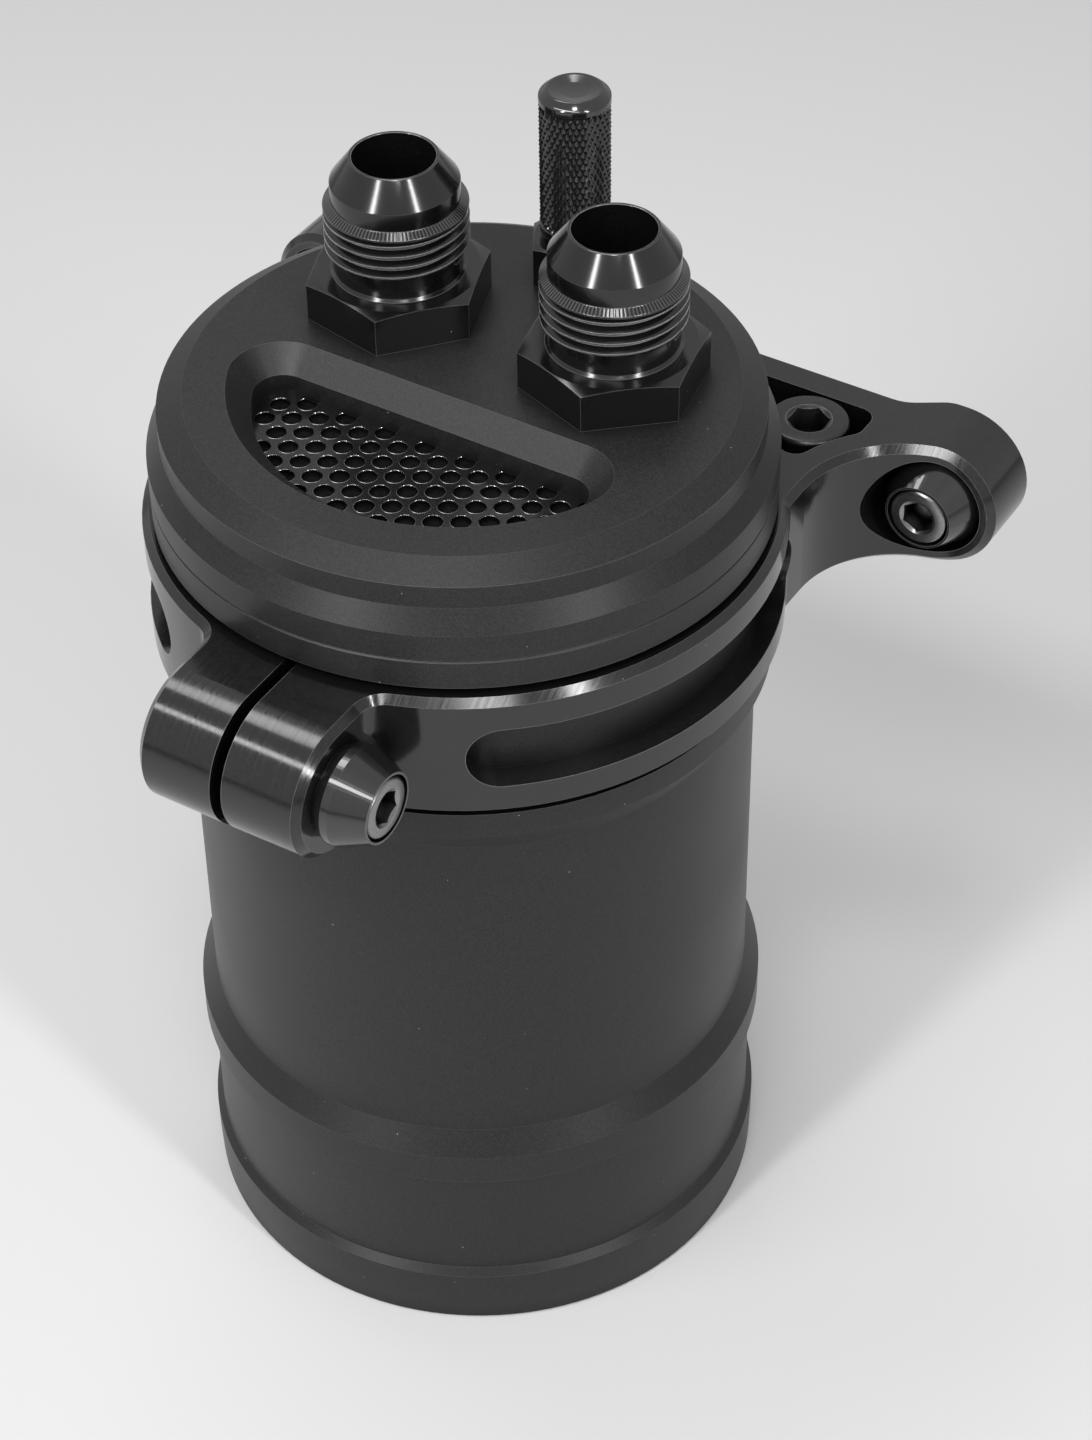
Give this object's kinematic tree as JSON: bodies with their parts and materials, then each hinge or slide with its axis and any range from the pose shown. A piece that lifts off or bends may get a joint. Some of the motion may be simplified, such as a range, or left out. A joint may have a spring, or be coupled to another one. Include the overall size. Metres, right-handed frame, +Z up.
{
  "type": "oil catch can",
  "caption": "Round crankcase-breather oil catch can: screw-on vented lid, flare fittings, dipstick, screw-off cup and a slotted pinch clamp with two mounting arms.",
  "frame": {"origin": "centre of the flat base, on the can's axis", "axes": "+Z up along the can's axis, +Y towards the mounting arms, +X to the side that the pinch screw's head is on"},
  "size_m": [0.136, 0.1332, 0.195],
  "materials": {
    "can_black": "satin black anodised, bead blasted",
    "clamp_black": "satin black anodised, machined, bright chamfers",
    "fitting_black": "gloss black anodised",
    "washer_black": "gloss black anodised, turned",
    "knurl_black": "gloss black anodised, knurled",
    "screw_steel": "dark satin steel",
    "mesh_steel": "dark, satin",
    "rod_steel": "ground bright",
    "plate_aluminium": "plain satin",
    "seal_rubber": "matt",
    "pad_foam": "open foam"
  },
  "bodies": {
    "bracket": {"clamp_bracket": "clamp_black", "arm_screws": "screw_steel", "mount_screws": "screw_steel", "mount_washers": "washer_black"},
    "can": {"canister": "can_black"},
    "lid_ring": {"lid_seal": "seal_rubber"},
    "lid": {"lid": "can_black", "vent_mesh": "mesh_steel", "vent_filter_pad": "pad_foam", "vent_retainer": "plate_aluminium", "vent_screws": "screw_steel", "inlet_fitting": "fitting_black", "outlet_fitting": "fitting_black", "inlet_seal": "seal_rubber", "outlet_seal": "seal_rubber", "dipstick_bung": "fitting_black", "bung_seal": "seal_rubber", "baffle_post": "rod_steel", "baffle_plate": "plate_aluminium", "baffle_nut": "screw_steel"},
    "dipstick_rings": {"dipstick_seals": "seal_rubber"},
    "dipstick": {"dipstick_handle": "knurl_black", "dipstick_rod": "rod_steel"},
    "cup_ring": {"cup_seal": "seal_rubber"},
    "cup": {"reservoir_cup": "can_black"},
    "screw_washer": {"pinch_washer": "washer_black"},
    "clamp_screw": {"pinch_screw": "screw_steel"}
  },
  "joints": [
    {"name": "clamp_turn", "type": "hinge", "parent": "bracket", "child": "can", "pos_m": [0, 0, 0.1302], "axis": [0, 0, 1], "continuous": true},
    {"name": "lid_rise", "type": "slide", "parent": "can", "child": "lid_ring", "axis": [0, 0, 1], "range_m": [0, 0.013]},
    {"name": "lid_turn", "type": "hinge", "parent": "lid_ring", "child": "lid", "pos_m": [0, 0, 0.1475], "axis": [0, 0, 1], "range_deg": [0, 3060]},
    {"name": "dipstick_pull", "type": "slide", "parent": "lid", "child": "dipstick_rings", "axis": [0, 0, 1], "range_m": [0, 0.165]},
    {"name": "dipstick_turn", "type": "hinge", "parent": "dipstick_rings", "child": "dipstick", "pos_m": [0, 0.03285, 0.169], "axis": [0, 0, 1], "continuous": true},
    {"name": "cup_turn", "type": "hinge", "parent": "can", "child": "cup_ring", "pos_m": [0, 0, 0.0341], "axis": [0, 0, -1], "range_deg": [0, 3060]},
    {"name": "cup_drop", "type": "slide", "parent": "cup_ring", "child": "cup", "axis": [0, 0, -1], "range_m": [0, 0.013]},
    {"name": "pinch_turn", "type": "hinge", "parent": "bracket", "child": "screw_washer", "pos_m": [0.01415, -0.0563, 0.1302], "axis": [1, 0, 0], "range_deg": [0, 4710]},
    {"name": "pinch_out", "type": "slide", "parent": "screw_washer", "child": "clamp_screw", "axis": [1, 0, 0], "range_m": [0, 0.013]}
  ],
  "couplings": [
    {"joint": "lid_rise", "follows": "lid_turn", "m_per_rad": 0.00023873},
    {"joint": "cup_drop", "follows": "cup_turn", "m_per_rad": 0.00023873},
    {"joint": "pinch_turn", "follows": "pinch_out", "rad_per_m": 6283.2}
  ]
}
